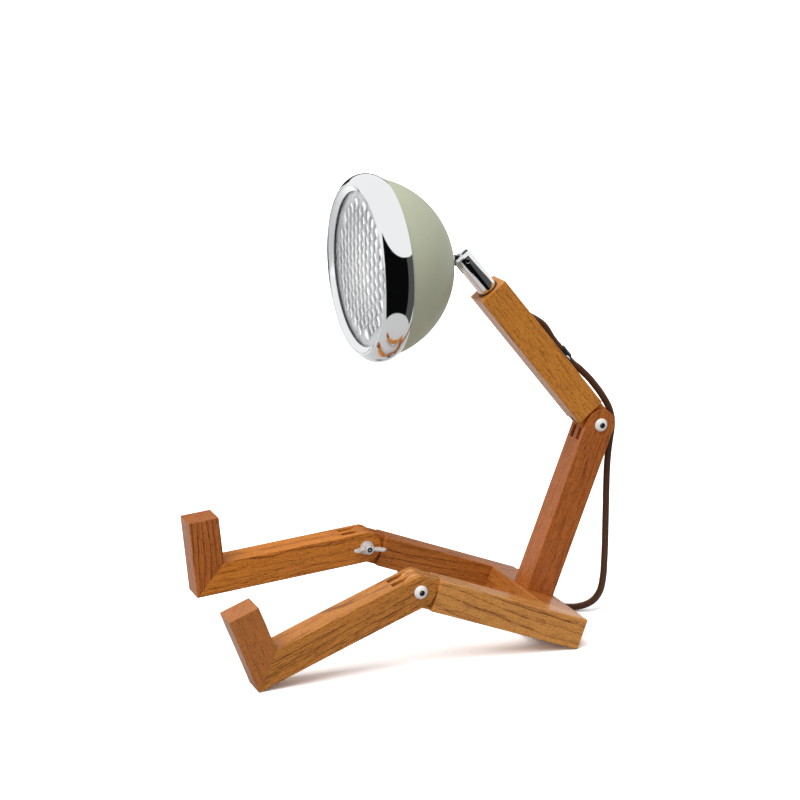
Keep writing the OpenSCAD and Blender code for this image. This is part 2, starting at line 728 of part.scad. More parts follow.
function unit(v) = v / norm(v);
function heading(p, i) = unit(p[min(i + 1, len(p) - 1)] - p[max(i - 1, 0)]);
function square_to(n, t) = unit(n - (n * t) * t);
function side_vectors(p, n, i = 0) =
    i == len(p) ? [] : let (m = square_to(n, heading(p, i))) concat([m], side_vectors(p, m, i + 1));

// A tube of eight flats swept through the points of a route
module cord_tube(p, first_side = [0, 1, 0]) {
    n = 8;
    side = side_vectors(p, first_side);
    rings = [
        for (i = [0 : len(p) - 1]) for (k = [0 : n - 1])
            p[i] + cord_d / 2 * (cos(360 * k / n) * side[i] + sin(360 * k / n) * cross(heading(p, i), side[i]))
    ];
    walls = [
        for (i = [0 : len(p) - 2]) for (k = [0 : n - 1])
            let (a = i * n + k, b = i * n + (k + 1) % n) [a, a + n, b + n, b]
    ];
    ends = [[for (k = [0 : n - 1]) k], [for (k = [n - 1 : -1 : 0]) (len(p) - 1) * n + k]];
    color(cord_brown) polyhedron(rings, concat(walls, ends));
}

module cord_arm() cord_tube(ARM_ROUTE);
module cord_drop() cord_tube(DROP_ROUTE);
module cord_run() cord_tube(RUN_ROUTE, [1, 0, 0]);
module cord_tail() cord_tube(TAIL_ROUTE, [0, 0, 1]);

// Section of the coil: two layers of turns that wind inwards and then out again
module coil_section(grow = 0) {
    inner_r = coil_r - coil_band;
    polygon([[inner_r - grow, 0], [coil_r + grow, 0], [coil_r + grow, coil_height - coil_round],
             [coil_r - coil_round, coil_height + grow], [inner_r + coil_round, coil_height + grow],
             [inner_r - grow, coil_height - coil_round]]);
}

module at_coil() translate([coil_centre[0], coil_centre[1], 0]) children();

module cord_coil() color(cord_brown) at_coil() rotate_extrude($fn = 96) coil_section();

module coil_ties() color(black) at_coil() for (a = [135, 315]) rotate([0, 0, a]) intersection() {
    rotate_extrude($fn = 96) difference() {
        coil_section(tie_t);
        coil_section();
    }
    translate([0, -tie_w / 2, 0]) cube([2 * coil_r, tie_w, 2 * coil_height]);
}

// ---------------------------------------------------------------- cord switch

switch_wall = 1.4;
rocker_len = 15;
rocker_w = 8;
rocker_axis_h = switch_h - 2.6;
rocker_slot_w = rocker_w + 0.8;
rocker_hollow_r = 22;
axle_d = 2;
cheek_t = 1.6;
boss_d = 3.2;
boss_at = switch_w / 2 - switch_wall - boss_d / 2 - 0.25;
switch_screw_d = 1.8;
switch_screw_head_d = 3;
switch_screw_head_h = 0.8;
switch_screw_len = 6.5;

module on_switch() translate([switch_at[0], switch_at[1], 0]) children();

// The housing seen from above: a long body with rounded ends
module switch_outline(inset = 0) {
    r = 5 - inset;
    hull() for (x = [-1, 1]) for (y = [0, 1])
        translate([x * (switch_w / 2 - inset - r), y * switch_len + (1 - 2 * y) * (inset + r)])
            circle(r = r, $fn = 32);
}

module cord_holes() translate([0, -1, switch_axis_h]) rotate([-90, 0, 0])
    cylinder(d = cord_d + 0.3, h = switch_len + 2);

// Two screws join the halves, one on each side of the cord
module switch_screw_places() for (s = [-1, 1])
    translate([s * boss_at, switch_len / 2 + s * (switch_len / 2 - 8), 0]) children();

module switch_base() color(black) on_switch() difference() {
    linear_extrude(switch_axis_h) switch_outline();
    translate([0, 0, switch_wall]) linear_extrude(switch_h) switch_outline(switch_wall);
    cord_holes();
    switch_screw_places() translate([0, 0, -hair]) {
        cylinder(d = switch_screw_d + 0.2, h = 2 * switch_wall);
        cylinder(d = switch_screw_head_d + 0.2, h = switch_screw_head_h + hair);
    }
}

module switch_cover() color(black) on_switch() difference() {
    union() {
        difference() {
            translate([0, 0, switch_axis_h]) linear_extrude(switch_h - switch_axis_h) switch_outline();
            translate([0, 0, switch_axis_h - hair]) linear_extrude(switch_h - switch_axis_h - switch_wall)
                switch_outline(switch_wall);
        }
        // Bosses for the screws, and cheeks that carry the rocker's axle
        switch_screw_places() translate([0, 0, switch_wall]) cylinder(d = boss_d, h = switch_h - 1.5 * switch_wall);
        for (s = [-1, 1]) translate([s * (rocker_slot_w + cheek_t - 0.2) / 2, switch_len / 2, switch_h - 2.7])
            cube([cheek_t + 0.2, 6, 4.6], center = true);
    }
    translate([-rocker_slot_w / 2, (switch_len - rocker_len) / 2 - 0.6, 0])
        cube([rocker_slot_w, rocker_len + 1.2, 2 * switch_h]);
    translate([0, switch_len / 2, rocker_axis_h]) rotate([0, 90, 0])
        cylinder(d = axle_d + 0.1, h = rocker_slot_w + 2 * cheek_t + hair, center = true);
    switch_screw_places() translate([0, 0, switch_wall - hair]) cylinder(d = switch_screw_d, h = 6);
    cord_holes();
}

module switch_rocker() color([0.2, 0.2, 0.2]) on_switch()
    translate([0, switch_len / 2, rocker_axis_h]) rotate([-rocker_throw / 2, 0, 0]) {
        translate([-rocker_w / 2, 0, 0]) rotate([90, 0, 90]) linear_extrude(rocker_w) difference() {
            intersection() {
                circle(r = rocker_len / 2);
                translate([-rocker_len, -2]) square([2 * rocker_len, 6.2]);
            }
            translate([0, rocker_hollow_r + 3.2]) circle(r = rocker_hollow_r);
        }
        rotate([0, 90, 0]) cylinder(d = axle_d, h = rocker_slot_w + 2 * cheek_t - 0.4, center = true);
    }

module switch_screws() color(chrome) on_switch() switch_screw_places() {
    cylinder(d = switch_screw_head_d, h = switch_screw_head_h);
    cylinder(d = switch_screw_d - 0.04, h = switch_screw_len);
}

// ---------------------------------------------------------------- plug

module on_plug() translate([plug_at[0], plug_at[1], 0]) children();

// Seen from above: wide at the pins and drawn in to the cord
module plug_outline() hull() {
    translate([-plug_len + 3, 0]) for (y = [-1, 1]) translate([0, y * (plug_w / 2 - 3)]) circle(r = 3, $fn = 32);
    translate([-plug_len / 2, 0]) for (y = [-1, 1]) translate([0, y * (plug_w / 2 - 3)]) circle(r = 3, $fn = 32);
    translate([-5, 0]) for (y = [-1, 1]) translate([0, y * 1.5]) circle(r = 5, $fn = 32);
}

pin_core_d = pin_d - 1;
pin_root = 8;

// Places of the pins' tips, with Z along a pin towards the plug
module pin_places() on_plug() for (y = [-1, 1])
    translate([-plug_len - pin_len, y * pin_gap / 2, plug_t / 2]) rotate([0, 90, 0]) children();

// The body has a moulded sleeve round the root of each pin, and a hole for the cord
module plug_body() color(black) difference() {
    union() {
        on_plug() linear_extrude(plug_t) plug_outline();
        pin_places() translate([0, 0, pin_len - pin_sleeve_len])
            cylinder(d = pin_d, h = pin_sleeve_len + 1);
    }
    pin_places() cylinder(d = pin_core_d + 0.04, h = pin_len + pin_root + 0.1);
    on_plug() translate([-6, 0, plug_t / 2]) rotate([0, 90, 0]) cylinder(d = cord_d + 0.3, h = 8);
}

module plug_pins() color(chrome) pin_places() {
    translate([0, 0, pin_d / 2]) sphere(d = pin_d);
    translate([0, 0, pin_d / 2]) cylinder(d = pin_d, h = pin_len - pin_sleeve_len - pin_d / 2);
    cylinder(d = pin_core_d, h = pin_len + pin_root);
}

// ---------------------------------------------------------------- drawing

left_thigh();
right_thigh();
hip_rail();
hip_dowels();
torso_post();
torso_dowels();
torso_screw();
upper_arm();
left_shin();
right_shin();
left_foot();
right_foot();
left_foot_dowels();
right_foot_dowels();
elbow_bolt();
left_knee_bolt();
right_knee_bolt();
elbow_washer();
left_knee_washer();
right_knee_washer();
elbow_wing_nut();
left_wing_nut();
right_wing_nut();
neck_insert();
neck_washer();
knuckle_barrel();
knuckle_pin();
head_tongue();
seat_washer();
tongue_nut();
lamp_shell();
bezel();
lens();
lens_gasket();
reflector();
led_board();
heat_sink();
sink_screws();
led_driver();
inner_lead();
cord_clip();
clip_screw();
cord_arm();
cord_drop();
switch_base();
switch_cover();
switch_rocker();
switch_screws();
cord_run();
cord_coil();
coil_ties();
cord_tail();
plug_body();
plug_pins();
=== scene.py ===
import json
import math

import bmesh
import bpy
import numpy as np
from mathutils import Euler, Matrix, Vector


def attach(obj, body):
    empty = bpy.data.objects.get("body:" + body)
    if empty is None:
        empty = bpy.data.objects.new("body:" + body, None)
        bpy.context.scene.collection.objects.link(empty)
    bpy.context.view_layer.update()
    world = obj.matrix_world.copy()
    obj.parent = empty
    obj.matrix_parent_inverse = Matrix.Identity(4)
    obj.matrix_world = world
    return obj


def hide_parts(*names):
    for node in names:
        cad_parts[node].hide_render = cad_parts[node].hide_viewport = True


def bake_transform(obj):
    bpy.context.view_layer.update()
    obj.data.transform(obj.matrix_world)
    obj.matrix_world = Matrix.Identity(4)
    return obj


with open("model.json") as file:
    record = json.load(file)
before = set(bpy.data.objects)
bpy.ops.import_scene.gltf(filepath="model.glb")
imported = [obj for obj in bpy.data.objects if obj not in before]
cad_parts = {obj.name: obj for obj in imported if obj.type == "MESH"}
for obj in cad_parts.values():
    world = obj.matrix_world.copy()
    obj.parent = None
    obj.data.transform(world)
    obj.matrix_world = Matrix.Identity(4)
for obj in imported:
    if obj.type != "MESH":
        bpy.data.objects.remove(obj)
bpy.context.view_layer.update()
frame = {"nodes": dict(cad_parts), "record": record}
NODES = frame["nodes"]
BODY = {node: body for body, nodes in frame["record"]["behaviour"]["bodies"].items() for node in nodes}
SLOT = {part["node"]: part["material_slot"] for part in frame["record"]["subparts"]}
MM = 0.001


def linked(thing):
    bpy.context.scene.collection.objects.link(thing)
    return thing


# ------------------------------------------------------------------ camera

# The photo's own view: the distance is in metres, the lens and the sensor are in millimetres
VIEW_AZIMUTH = math.radians(-20.915)
VIEW_ELEVATION = math.radians(14.073)
VIEW_TARGET = Vector((-7.97, -1.18, 173.62)) * MM
VIEW_DISTANCE = 1.587217
VIEW_LENS = 104.332
SENSOR_WIDTH = 36


def place_camera():
    back = Vector((
        math.sin(VIEW_AZIMUTH) * math.cos(VIEW_ELEVATION),
        -math.cos(VIEW_AZIMUTH) * math.cos(VIEW_ELEVATION),
        math.sin(VIEW_ELEVATION),
    ))
    data = bpy.data.cameras.new("camera")
    data.sensor_width = SENSOR_WIDTH
    data.lens = VIEW_LENS
    camera = linked(bpy.data.objects.new("camera", data))
    camera.location = VIEW_TARGET + back * VIEW_DISTANCE
    camera.rotation_mode = "QUATERNION"
    camera.rotation_quaternion = (-back).to_track_quat("-Z", "Y")
    bpy.context.scene.camera = camera


place_camera()


# ------------------------------------------------------------------ node trees

class Value:
    """A socket in a sum. An expression on values adds its Math nodes to the tree."""

    def __init__(self, wiring, socket):
        self.wiring = wiring
        self.socket = socket

    def calc(self, operation, *others):
        return self.wiring.node("ShaderNodeMath", {"operation": operation}, [self, *others])

    def __add__(self, other):
        return self.calc("ADD", other)

    __radd__ = __add__

    def __sub__(self, other):
        return self.calc("SUBTRACT", other)

    def __rsub__(self, other):
        return self.wiring.node("ShaderNodeMath", {"operation": "SUBTRACT"}, [other, self])

    def __mul__(self, other):
        return self.calc("MULTIPLY", other)

    __rmul__ = __mul__

    def __truediv__(self, other):
        return self.calc("DIVIDE", other)

    def __rtruediv__(self, other):
        return self.wiring.node("ShaderNodeMath", {"operation": "DIVIDE"}, [other, self])


class Wiring:
    """A node tree that is filled one node at a time."""

    def __init__(self, tree):
        self.tree = tree

    def node(self, kind, settings=None, inputs=(), output=0):
        """Adds a node. Its settings come first, then its sockets' values or links."""
        made = self.tree.nodes.new(kind)
        for key, value in (settings or {}).items():
            setattr(made, key, value)
        for key, value in inputs.items() if isinstance(inputs, dict) else enumerate(inputs):
            if isinstance(value, Value):
                self.tree.links.new(value.socket, made.inputs[key])
            else:
                made.inputs[key].default_value = value
        if isinstance(output, tuple):
            return [Value(self, made.outputs[name]) for name in output]
        return Value(self, made.outputs[output]) if made.outputs else None


class Finish(Wiring):
    """A procedural material: constants sit on the shader's own sockets, patterns are linked."""

    def __init__(self, name, tint, roughness, **constants):
        self.material = bpy.data.materials.new(name)
        self.material.use_nodes = True
        self.material.diffuse_color = (*tint, 1)
        super().__init__(self.material.node_tree)
        self.shader = self.tree.nodes["Principled BSDF"]
        self.feed("Base Color", (*tint, 1))
        self.feed("Roughness", roughness)
        for key, value in constants.items():
            self.feed(key.replace("_", " "), value)

    def feed(self, socket, value):
        if isinstance(value, Value):
            self.tree.links.new(value.socket, self.shader.inputs[socket])
        else:
            self.shader.inputs[socket].default_value = value

    def place(self, spot=(0, 0, 0), turn=(0, 0, 0)):
        """Coordinates in the piece's own frame, in millimetres from a spot along turned axes."""
        return self.node(
            "ShaderNodeMapping", {"vector_type": "TEXTURE"},
            {"Vector": self.node("ShaderNodeTexCoord", output="Object"),
             "Location": spot, "Rotation": turn, "Scale": (MM, MM, MM)},
        )

    def stretched(self, place, factors, shift):
        return self.node("ShaderNodeMapping", {"vector_type": "POINT"},
                         {"Vector": place, "Location": shift, "Scale": factors})

    def noise(self, place, scale=1.0, detail=3.0, roughness=0.5):
        return self.node("ShaderNodeTexNoise", {"noise_dimensions": "3D"},
                         {"Vector": place, "Scale": scale, "Detail": detail, "Roughness": roughness})

    def span(self, value, low, high):
        """0 up to one value and 1 from another on, with a smooth step between them."""
        return self.node("ShaderNodeMapRange", {"interpolation_type": "SMOOTHSTEP"},
                         {"Value": value, "From Min": low, "From Max": high})

    def peak(self, value, start, full, fall, end):
        """Rises from 0 to 1 between the first two values and falls back between the last two."""
        return self.span(value, start, full) * (1.0 - self.span(value, fall, end))

    def mixed(self, share, first, second):
        """The first of two colours where the share is 0 and the second where it is 1."""
        first, second = (c if isinstance(c, Value) else (*c, 1) for c in (first, second))
        return self.node("ShaderNodeMix", {"data_type": "RGBA"},
                         {0: share, 6: first, 7: second}, output=2)

    def bumped(self, height, distance, strength):
        """Raises the surface where the height is greater; the distance is in metres."""
        self.feed("Normal", self.node("ShaderNodeBump", None,
                                      {"Strength": strength, "Distance": distance, "Height": height}))


def color(red, green, blue):
    """A colour from its three values of 0 to 255, as a screen shows them."""
    shares = [v / 255 for v in (red, green, blue)]
    return tuple(s / 12.92 if s <= 0.04045 else ((s + 0.055) / 1.055) ** 2.4 for s in shares)


# ------------------------------------------------------------------ finishes

# Features to a millimetre along the bar and across it, for each pattern of the wood
SWAY_GRAIN = (0.007, 0.03, 0.03)
FINE_SWAY_GRAIN = (0.03, 0.25, 0.25)
FIBRE_GRAIN = (0.08, 1.0, 1.0)
THREAD_GRAIN = (0.02, 0.9, 0.9)
PORE_GRAIN = (0.45, 3.0, 3.0)
CLOUD_GRAIN = (0.012, 0.07, 0.07)
# How far the rings wander, in millimetres
SWAY_WIDTH = 16.0
FINE_SWAY_WIDTH = 2.2
# How much each pattern darkens the wood; the first two count by a bar's streak
LATE_SHARE = 0.55
LINE_SHARE = 0.42
THREAD_SHARE = 0.3
FIBRE_SHARE = 3.0
CLOUD_SHARE = 0.8
PORE_SHARE = 0.65
# Steps between the noise of one year and of the next, and of one bar and of the next
YEAR_STEP = 0.37
SEED_STEP = (7.3, 3.1, 5.7)
# Millimetres from a bolt's axis: the edge of the painted grey reflection on the floor of its socket,
# and the socket's wall, where the socket's painted shade meets the plate
SOCKET_PAINTED_GLINT = (0.4, 0.9)
SOCKET_PAINTED_SHADE = (1.7, 2.3)
# The middle of the lens, in metres, and the millimetres from it over which its painted shade grows
LENS_CENTRE = (-0.04, 0, 0.2663)
LENS_PAINTED_SHADE = (6.0, 40.0)
# Attribute of the lens: the distance to the nearest dome's middle, over the dome's radius
DOME_DISTANCE = "seam"


def wood(name, spot, turn, light, dark, ring, pith=(40, -50), streak=0.75, drift=0.02, seed=0.0):
    """Satin lacquer on an open-pored wood. X lies along the bar, and the rings turn about a pith
    line outside it, so that the sides show long streaks and the ends show arcs and dots. The ring
    and the pith are in millimetres, the streak is the rings' strength, the drift their slant."""
    made = Finish(name, light, 0.4, Coat_Weight=0.24, Coat_IOR=1.32, Coat_Roughness=0.14,
                  Specular_IOR_Level=0.15)
    grain = made.place(spot, turn)
    shift = tuple(seed * step for step in SEED_STEP)

    def pattern(factors, **quality):
        return made.noise(made.stretched(grain, factors, shift), **quality)

    along, across, up = made.node("ShaderNodeSeparateXYZ", None, [grain], output=("X", "Y", "Z"))
    sway = (pattern(SWAY_GRAIN, detail=2.0) - 0.5) * SWAY_WIDTH
    fine_sway = (pattern(FINE_SWAY_GRAIN) - 0.5) * FINE_SWAY_WIDTH
    beside = across - pith[0]
    below = up - pith[1]
    reach = (beside * beside + below * below).calc("SQRT") + along * drift
    count = (reach + sway + fine_sway) / ring
    season = count.calc("FRACT")
    late = made.peak(season, 0.35, 0.93, 0.94, 1.0)
    line = made.peak(season, 0.78, 0.9, 0.93, 0.99)
    year_spot = made.node("ShaderNodeCombineXYZ", None, [count.calc("FLOOR") * YEAR_STEP, seed, 0.0])
    year = made.noise(year_spot, detail=0.0)
    fibre = pattern(FIBRE_GRAIN, detail=4.0, roughness=0.75)
    thread = made.span(pattern(THREAD_GRAIN), 0.55, 0.7)
    pore = made.span(pattern(PORE_GRAIN, detail=2.0), 0.56, 0.66)
    cloud = pattern(CLOUD_GRAIN, detail=2.0)
    strong = (year * 1.7 - 0.1).calc("MINIMUM", 1.0)
    share = late * strong * (streak * LATE_SHARE) + line * strong * (streak * LINE_SHARE) \
        + thread * THREAD_SHARE + (fibre - 0.5) * FIBRE_SHARE + (cloud - 0.5) * CLOUD_SHARE
    tone = made.mixed(share.calc("MAXIMUM", 0.0).calc("MINIMUM", 1.0), light, dark)
    deep = tuple(c * 0.4 for c in dark)
    made.feed("Base Color", made.mixed(pore * PORE_SHARE, tone, deep))
    made.feed("Roughness", 0.34 + pore * 0.2 + (fibre - 0.5) * 0.12)
    made.bumped(fibre * 0.5 - pore * 0.6, 0.00005, 0.6)
    return made.material


def chrome():
    """Polished plate with a few duller patches."""
    made = Finish("bright_chrome", (0.90, 0.91, 0.92), 0.04, Metallic=1.0)
    made.feed("Roughness", 0.03 + made.noise(made.place(), 0.08, 2.0) * 0.04)
    return made.material


def nickel():
    """Plated castings, slightly uneven."""
    made = Finish("fastener_nickel", (0.9, 0.9, 0.89), 0.2, Metallic=0.5)
    cast = made.noise(made.place(), 1.4)
    made.feed("Roughness", 0.2 + cast * 0.14)
    made.feed("Base Color", made.mixed(cast, (0.97, 0.97, 0.96), (0.84, 0.84, 0.83)))
    made.bumped(cast, 0.00006, 0.5)
    return made.material


def zinc_and_socket_shade(name, spot):
    """Matt zinc plating, which takes light from all round, on a bolt with its axis through a spot.
    The bolt's socket has painted shade around the middle of its floor, and a painted grey reflection in
    that middle."""
    made = Finish(name, (0.93, 0.93, 0.92), 0.4, Metallic=0.12)
    place = made.place(spot)
    cast = made.noise(place, 1.6)
    across, up = made.node("ShaderNodeSeparateXYZ", None, [place], output=("X", "Z"))
    away = (across * across + up * up).calc("SQRT")
    plate = made.mixed(cast, (1.0, 1.0, 0.99), (0.92, 0.92, 0.91))
    # Painted shade in the socket out to its wall, around a painted grey reflection at the middle of its
    # floor
    socket = made.mixed(made.span(away, *SOCKET_PAINTED_GLINT), (0.45, 0.45, 0.45), (0.03, 0.03, 0.03))
    made.feed("Base Color", made.mixed(made.span(away, *SOCKET_PAINTED_SHADE), socket, plate))
    made.feed("Roughness", 0.34 + cast * 0.16)
    made.bumped(cast, 0.00004, 0.4)
    return made.material


def brass():
    made = Finish("brass", (0.75, 0.56, 0.25), 0.25, Metallic=1.0)
    worn = made.noise(made.place(), 0.7)
    made.feed("Roughness", 0.2 + worn * 0.2)
    made.feed("Base Color", made.mixed(worn, (0.80, 0.62, 0.30), (0.58, 0.42, 0.18)))
    return made.material


def powder_coat():
    """Satin powder coat with the faint orange peel that it dries with."""
    made = Finish("shell_paint", color(193, 196, 170), 0.46, Specular_IOR_Level=0.4)
    place = made.place()
    patch = made.noise(place, 0.03, 2.0)
    grit = made.noise(place, 2.2, 2.0)
    shade = made.mixed(patch * 0.7 + grit * 0.3, color(198, 201, 175), color(187, 190, 164))
    made.feed("Base Color", shade)
    made.feed("Roughness", 0.40 + grit * 0.12)
    made.bumped(made.noise(place, 1.1, 2.0), 0.00005, 0.4)
    return made.material


def moulded(name, shade, roughness, grit=1.6, depth=0.00004, **constants):
    """A moulded plastic or rubber with a fine spark-eroded texture."""
    made = Finish(name, shade, roughness, **constants)
    place = made.place()
    texture = made.noise(place, grit)
    worn = made.noise(place, 0.12, 2.0)
    darker = tuple(c * 0.72 for c in shade)
    made.feed("Base Color", made.mixed(worn, shade, darker))
    made.feed("Roughness", roughness - 0.06 + texture * 0.12 + worn * 0.06)
    made.bumped(texture, depth, 0.6)
    return made.material


def pressed_glass():
    """Clear glass with a fine frost, with painted shade in the seams between its domes and towards its
    rim.
    """
    made = Finish("lens_glass", (0.95, 0.96, 0.96), 0.2, Transmission_Weight=0.88, IOR=1.45)
    place = made.place(LENS_CENTRE)
    frost = made.noise(place, 0.2, 2.0)
    beside, up = made.node("ShaderNodeSeparateXYZ", None, [place], output=("Y", "Z"))
    rim = made.span((beside * beside + up * up).calc("SQRT"), *LENS_PAINTED_SHADE)
    from_dome = made.node("ShaderNodeAttribute", {"attribute_name": DOME_DISTANCE}, output="Fac")
    # Painted shade in the seams between the domes
    seam = made.peak(from_dome, 0.5, 0.95, 1.1, 1.4)
    made.feed("Roughness", 0.06 + frost * 0.06)
    # Painted shade that greys the glass towards its rim
    clear = made.mixed(rim, (1.0, 1.0, 1.0), (0.74, 0.75, 0.76))
    made.feed("Base Color", made.mixed(seam * 0.5, clear, (0.45, 0.46, 0.47)))
    return made.material


def metallised():
    """The bowl's evaporated coat, which scatters a little."""
    made = Finish("reflector", (0.88, 0.89, 0.90), 0.32, Metallic=1.0)
    made.feed("Roughness", 0.42 + made.noise(made.place(), 0.3, 2.0) * 0.1)
    return made.material


def sheath():
    """Matt extruded sheath with faint dust and pull marks."""
    made = Finish("cord_sheath", color(92, 58, 36), 0.42, Specular_IOR_Level=0.45)
    place = made.place()
    dust = made.noise(place, 0.25)
    made.feed("Base Color", made.mixed(dust, color(98, 62, 38), color(80, 49, 30)))
    made.feed("Roughness", 0.36 + dust * 0.16)
    made.bumped(made.noise(place, 1.5, 2.0), 0.00003, 0.4)
    return made.material


FINISHES = {
    "fastener_nickel": nickel(), "bright_chrome": chrome(), "brass": brass(),
    "shell_paint": powder_coat(), "lens_glass": pressed_glass(), "reflector": metallised(),
    "cord_sheath": sheath(),
    "dowel_wood": wood("dowel_wood", (0, 0, 0), (0, 0, math.radians(90)),
                       color(216, 186, 140), color(190, 154, 108), ring=2.4, streak=0.4),
    "dark_washer": moulded("dark_washer", (0.02, 0.02, 0.02), 0.5),
    "gasket": moulded("gasket", (0.015, 0.015, 0.015), 0.6),
    "board": moulded("board", (0.8, 0.8, 0.76), 0.4),
    "sink_metal": moulded("sink_metal", (0.5, 0.51, 0.53), 0.45, Metallic=1.0),
    "potting": moulded("potting", (0.02, 0.02, 0.022), 0.35),
    "clip_black": moulded("clip_black", (0.018, 0.017, 0.016), 0.38),
    "housing_black": moulded("housing_black", (0.018, 0.018, 0.018), 0.3),
    "rocker_grey": moulded("rocker_grey", (0.05, 0.05, 0.05), 0.28),
    "tie_black": moulded("tie_black", (0.015, 0.015, 0.016), 0.55, grit=2.5, depth=0.0001),
}


# ------------------------------------------------------------------ pieces

# Edges that turn by more than this are rounded and drawn sharp
EDGE_TURN = math.radians(30.0)
# Points closer than these are merged, in metres: those of a CAD mesh and those of a made one
CAD_GAP = 2e-6
MADE_GAP = 1e-7


def finished(piece, material):
    """Turns a piece with its modifiers into one plain mesh, in place, with one finish."""
    evaluated = piece.evaluated_get(bpy.context.evaluated_depsgraph_get())
    mesh = bpy.data.meshes.new_from_object(evaluated)
    piece.modifiers.clear()
    piece.data = mesh
    mesh.name = piece.name
    mesh.materials.clear()
    mesh.materials.append(material)
    return piece


def mesh_piece(name, points, faces, material, recalculate=True, sharp=40.0):
    """A smooth-shaded piece from points in metres and its faces."""
    mesh = bpy.data.meshes.new(name)
    mesh.from_pydata([tuple(p) for p in points], [], [tuple(f) for f in faces])
    if recalculate:
        work = bmesh.new()
        work.from_mesh(mesh)
        bmesh.ops.remove_doubles(work, verts=work.verts, dist=MADE_GAP)
        bmesh.ops.recalc_face_normals(work, faces=work.faces)
        work.to_mesh(mesh)
        work.free()
    mesh.shade_smooth()
    mesh.set_sharp_from_angle(angle=math.radians(sharp))
    mesh.materials.append(material)
    return linked(bpy.data.objects.new(name, mesh))


def stands_for(piece, node):
    """The piece rides on the node's body in its place, and the node is hidden."""
    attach(piece, BODY[node])
    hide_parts(node)


def refined(node, material=None, width=0.2, steps=2):
    """A copy of a CAD node with merged faces and edges rounded by a width in millimetres."""
    mesh = NODES[node].data.copy()
    work = bmesh.new()
    work.from_mesh(mesh)
    bmesh.ops.remove_doubles(work, verts=work.verts, dist=CAD_GAP)
    bmesh.ops.dissolve_limit(work, angle_limit=math.radians(0.5), verts=work.verts, edges=work.edges)
    work.to_mesh(mesh)
    work.free()
    mesh.shade_smooth()
    mesh.set_sharp_from_angle(angle=EDGE_TURN)
    piece = linked(bpy.data.objects.new(node + "_fine", mesh))
    if width:
        edge = piece.modifiers.new("rounded_edges", "BEVEL")
        edge.width = width * MM
        edge.segments = steps
        edge.limit_method = "ANGLE"
        edge.angle_limit = EDGE_TURN
        edge.use_clamp_overlap = False
        edge.harden_normals = True
    stands_for(finished(piece, material or FINISHES[SLOT[node]]), node)


# ------------------------------------------------------------------ cord

ARM_ROUTE = [
    (81.1, 0, 229.5), (84.7, 0, 227.3), (88.4, 0, 225.1), (91.9, 0, 223.1), (94.3, 0, 221.6),
    (97.6, 0, 219.3), (100.4, 0, 216.5), (102.7, 0, 213.3), (104.5, 0, 210.3), (106.2, 0, 207.7),
    (107.8, 0, 205.6), (112.8, 0, 199.6), (115.7, 0, 195.55), (119.1, 0, 191.9),
]
DROP_ROUTE = [
    (122.5, 0, 188.25), (126.6, 0, 185.1), (130.8, 0, 181.2), (135.5, 0, 176.5), (139.8, 0, 171.4),
    (144, 0, 166), (147.5, 0, 160.8), (150.6, 0, 155.6), (152.8, 0, 150), (153.9, 0, 144.5),
    (153.9, 0, 139), (153.2, 0, 133.5), (152.4, 0, 127.5), (151.6, 0, 120), (151, 0, 110),
    (150.8, 0, 96), (150.8, 0, 82), (150.8, 0, 68), (150.8, 0, 54), (150.5, 0, 40), (150, 0.4, 27),
    (148.2, 1.7, 16), (143.4, 4.4, 8.1), (135.6, 8.8, 3.8), (127, 14.2, 2.6), (119.4, 21.6, 3.4),
    (114.8, 29.4, 4.8), (113.5, 36, 5.6), (113.5, 40, 5.6),
]
RUN_ROUTE = [
    (113.5, 78, 5.6), (113.5, 82, 5.5), (113.1, 87, 4.9), (111.8, 92.5, 3.9), (110, 98, 2.9),
]
TAIL_ROUTE = [
    (82.4, 140.2, 7.2), (76.5, 145.6, 5.8), (71.4, 152.2, 4), (67.3, 159.7, 2.8),
    (63.8, 167.4, 2.5), (60.5, 175, 2.6), (56.4, 182.2, 3.2), (50, 187.8, 4.6), (42.2, 190.6, 6.3),
    (36, 191, 6.85),
]
COIL_CENTRE = (71, 103.5)
COIL_OUTER = 37.5
COIL_INNER = 20.0
# Degrees that the coil winds in its lower layer, between the two and in its upper layer
COIL_LOWER = 3.5 * 360
COIL_CLIMB = 80
COIL_UPPER = 1242
CORD_DIAMETER = 5.0


def coil_route():
    """Two flat layers: three and a half turns inwards, a climb, and nearly as many outwards."""
    climbed = COIL_LOWER + COIL_CLIMB
    end = climbed + COIL_UPPER
    stops = [*np.arange(0, COIL_LOWER, 15), *np.arange(COIL_LOWER, climbed, 10),
             *np.arange(climbed, end, 15), end]
    points = []
    for turn in stops:
        if turn < COIL_LOWER:
            radius = COIL_OUTER + (COIL_INNER - COIL_OUTER) * turn / COIL_LOWER
        else:
            radius = COIL_INNER + (COIL_OUTER - COIL_INNER) * max(0, turn - climbed) / COIL_UPPER
        risen = min(1, max(0, (turn - COIL_LOWER) / COIL_CLIMB))
        height = CORD_DIAMETER * (0.5 + risen * risen * (3 - 2 * risen))
        a = math.radians(turn)
        points.append((COIL_CENTRE[0] + radius * math.cos(a),
                       COIL_CENTRE[1] + radius * math.sin(a), height))
    return points


